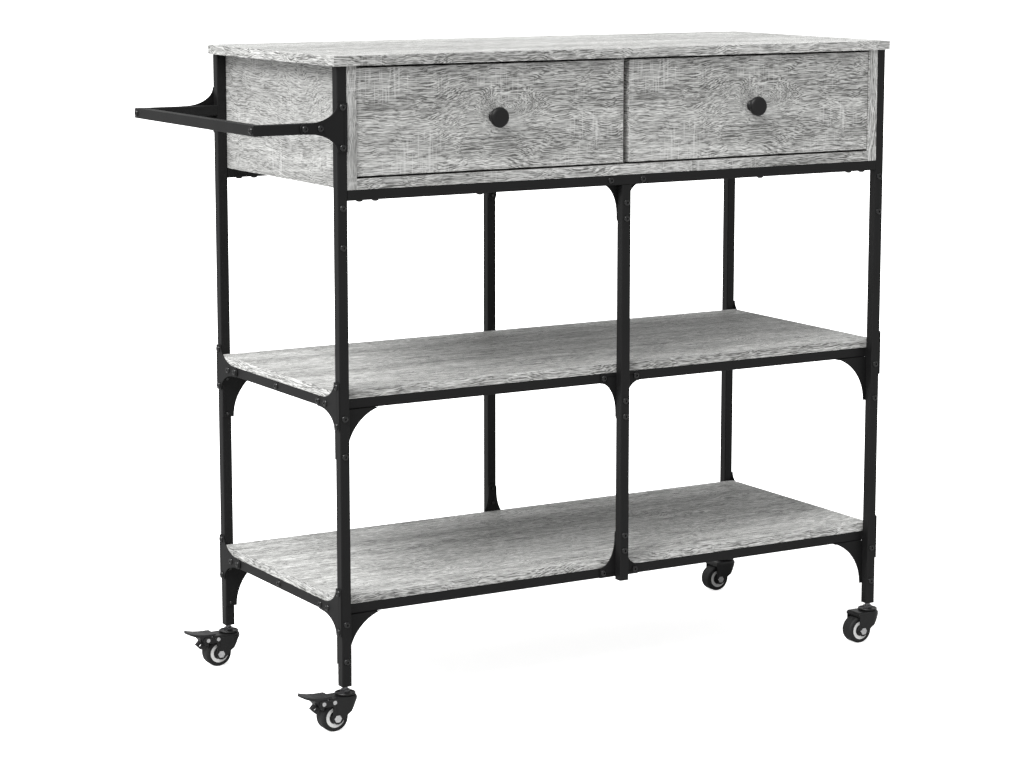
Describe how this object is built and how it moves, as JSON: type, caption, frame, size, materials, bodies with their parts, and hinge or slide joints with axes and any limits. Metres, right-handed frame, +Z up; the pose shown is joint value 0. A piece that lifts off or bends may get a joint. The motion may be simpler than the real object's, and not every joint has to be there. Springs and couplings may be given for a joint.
{
  "type": "kitchen island cart",
  "caption": "Rolling kitchen island with a grey oak-look worktop, drawer case and open shelves in a black square-tube frame, with a towel handle and swivel casters, some braked.",
  "frame": {"origin": "on the floor, at the middle of the whole cart's length and depth, handle, knobs and casters included", "axes": "+X along the length towards the end without the handle, +Y to the rear away from the drawer fronts, +Z up"},
  "size_m": [1.0892, 0.442, 0.954],
  "materials": {
    "wood_top": "grey oak decor, satin",
    "wood_case": "grey oak decor, satin",
    "wood_shelf": "grey oak decor, satin",
    "wood_front": "grey oak decor, satin",
    "drawer_board": "plain grey foil, matte",
    "dowel_wood": "plain beech",
    "black_steel": "black powder coat, satin",
    "bolt_black": "black zinc, satin",
    "inner_steel": "bright zinc",
    "plug_plastic": "black nylon",
    "runner_steel": "grey epoxy coat",
    "knob_black": "black, satin",
    "fork_black": "black coat, semi-gloss",
    "pedal_black": "black nylon",
    "tyre_rubber": "black rubber, matte",
    "hub_plastic": "pale rim, satin",
    "pin_zinc": "bright zinc",
    "stem_zinc": "bright zinc"
  },
  "bodies": {
    "frame": {"tabletop": "wood_top", "side_panel_left": "wood_case", "side_panel_right": "wood_case", "bottom_panel": "wood_case", "back_panel": "wood_case", "centre_divider": "wood_case", "middle_shelf": "wood_shelf", "lower_shelf": "wood_shelf", "case_dowels": "dowel_wood", "post_front_left": "black_steel", "post_front_right": "black_steel", "post_rear_left": "black_steel", "post_rear_right": "black_steel", "upper_posts": "black_steel", "centre_posts": "black_steel", "upper_rails": "black_steel", "middle_rails": "black_steel", "lower_rails": "black_steel", "side_rails": "black_steel", "handle_arms": "black_steel", "handle_bar": "black_steel", "t_plates": "black_steel", "corner_gussets": "black_steel", "frame_bolts": "bolt_black", "post_sleeves": "inner_steel", "tube_plugs": "plug_plastic", "fixed_runners": "runner_steel", "caster_cups": "fork_black", "caster_stems": "stem_zinc"},
    "caster_front_left": {"caster_front_left_fork": "fork_black", "caster_front_left_pins": "pin_zinc"},
    "wheel_front_left": {"caster_front_left_tyre": "tyre_rubber", "caster_front_left_hub": "hub_plastic"},
    "pedal_front_left": {"caster_front_left_pedal": "pedal_black"},
    "caster_front_right": {"caster_front_right_fork": "fork_black", "caster_front_right_pins": "pin_zinc"},
    "wheel_front_right": {"caster_front_right_tyre": "tyre_rubber", "caster_front_right_hub": "hub_plastic"},
    "caster_rear_left": {"caster_rear_left_fork": "fork_black", "caster_rear_left_pins": "pin_zinc"},
    "wheel_rear_left": {"caster_rear_left_tyre": "tyre_rubber", "caster_rear_left_hub": "hub_plastic"},
    "pedal_rear_left": {"caster_rear_left_pedal": "pedal_black"},
    "caster_rear_right": {"caster_rear_right_fork": "fork_black", "caster_rear_right_pins": "pin_zinc"},
    "wheel_rear_right": {"caster_rear_right_tyre": "tyre_rubber", "caster_rear_right_hub": "hub_plastic"},
    "drawer_left": {"drawer_left_front": "wood_front", "drawer_left_sides": "drawer_board", "drawer_left_back": "drawer_board", "drawer_left_floor": "drawer_board", "drawer_left_knob": "knob_black", "drawer_left_runners": "runner_steel"},
    "drawer_right": {"drawer_right_front": "wood_front", "drawer_right_sides": "drawer_board", "drawer_right_back": "drawer_board", "drawer_right_floor": "drawer_board", "drawer_right_knob": "knob_black", "drawer_right_runners": "runner_steel"}
  },
  "joints": [
    {"name": "caster_front_left_swivel", "type": "hinge", "parent": "frame", "child": "caster_front_left", "pos_m": [-0.40745, -0.19455, 0.05], "axis": [0, 0, 1], "continuous": true},
    {"name": "wheel_front_left_spin", "type": "hinge", "parent": "caster_front_left", "child": "wheel_front_left", "pos_m": [-0.42845, -0.19455, 0.021], "axis": [0, 1, 0], "continuous": true},
    {"name": "brake_front_left_press", "type": "hinge", "parent": "caster_front_left", "child": "pedal_front_left", "pos_m": [-0.44945, -0.19455, 0.045], "axis": [0, -1, 0], "range_deg": [0, 18]},
    {"name": "caster_front_right_swivel", "type": "hinge", "parent": "frame", "child": "caster_front_right", "pos_m": [0.52755, -0.19455, 0.05], "axis": [0, 0, 1], "continuous": true},
    {"name": "wheel_front_right_spin", "type": "hinge", "parent": "caster_front_right", "child": "wheel_front_right", "pos_m": [0.50655, -0.19455, 0.021], "axis": [0, 1, 0], "continuous": true},
    {"name": "caster_rear_left_swivel", "type": "hinge", "parent": "frame", "child": "caster_rear_left", "pos_m": [-0.40745, 0.20045, 0.05], "axis": [0, 0, 1], "continuous": true},
    {"name": "wheel_rear_left_spin", "type": "hinge", "parent": "caster_rear_left", "child": "wheel_rear_left", "pos_m": [-0.42845, 0.20045, 0.021], "axis": [0, 1, 0], "continuous": true},
    {"name": "brake_rear_left_press", "type": "hinge", "parent": "caster_rear_left", "child": "pedal_rear_left", "pos_m": [-0.44945, 0.20045, 0.045], "axis": [0, -1, 0], "range_deg": [0, 18]},
    {"name": "caster_rear_right_swivel", "type": "hinge", "parent": "frame", "child": "caster_rear_right", "pos_m": [0.52755, 0.20045, 0.05], "axis": [0, 0, 1], "continuous": true},
    {"name": "wheel_rear_right_spin", "type": "hinge", "parent": "caster_rear_right", "child": "wheel_rear_right", "pos_m": [0.50655, 0.20045, 0.021], "axis": [0, 1, 0], "continuous": true},
    {"name": "drawer_left_slide", "type": "slide", "parent": "frame", "child": "drawer_left", "axis": [0, -1, 0], "range_m": [0, 0.28]},
    {"name": "drawer_right_slide", "type": "slide", "parent": "frame", "child": "drawer_right", "axis": [0, -1, 0], "range_m": [0, 0.28]}
  ]
}
